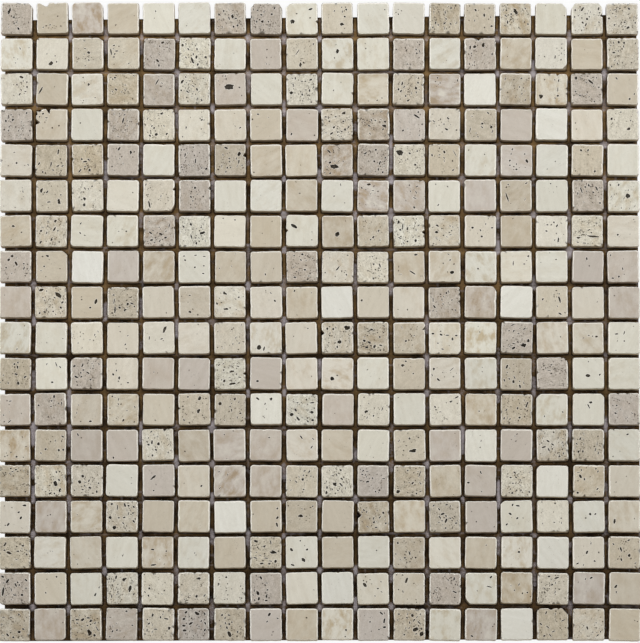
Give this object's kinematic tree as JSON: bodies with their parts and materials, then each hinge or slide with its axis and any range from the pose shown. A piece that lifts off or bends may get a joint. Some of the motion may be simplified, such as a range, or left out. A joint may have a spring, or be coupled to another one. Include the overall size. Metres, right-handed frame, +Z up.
{
  "type": "mosaic tile sheet",
  "caption": "Square sheet of small tumbled travertine tiles with open joints, glued on a glass-fibre net, for tiling walls and floors.",
  "frame": {"origin": "on the underside of the net, below the middle of the tile field", "axes": "+Z up, out of the tiles' faces; +X east, along the rows; +Y north, towards tile_row_01"},
  "size_m": [0.3036, 0.3036, 0.0099],
  "materials": {
    "travertine": "matte",
    "glue": "satin",
    "net_yarn": "matte"
  },
  "bodies": {
    "root": {"glue_film": "glue", "net_warp_yarns": "net_yarn", "net_weft_yarns": "net_yarn", "tile_row_01": "travertine", "tile_row_02": "travertine", "tile_row_03": "travertine", "tile_row_04": "travertine", "tile_row_05": "travertine", "tile_row_06": "travertine", "tile_row_07": "travertine", "tile_row_08": "travertine", "tile_row_09": "travertine", "tile_row_10": "travertine", "tile_row_11": "travertine", "tile_row_12": "travertine", "tile_row_13": "travertine", "tile_row_14": "travertine", "tile_row_15": "travertine", "tile_row_16": "travertine", "tile_row_17": "travertine", "tile_row_18": "travertine"}
  },
  "joints": []
}
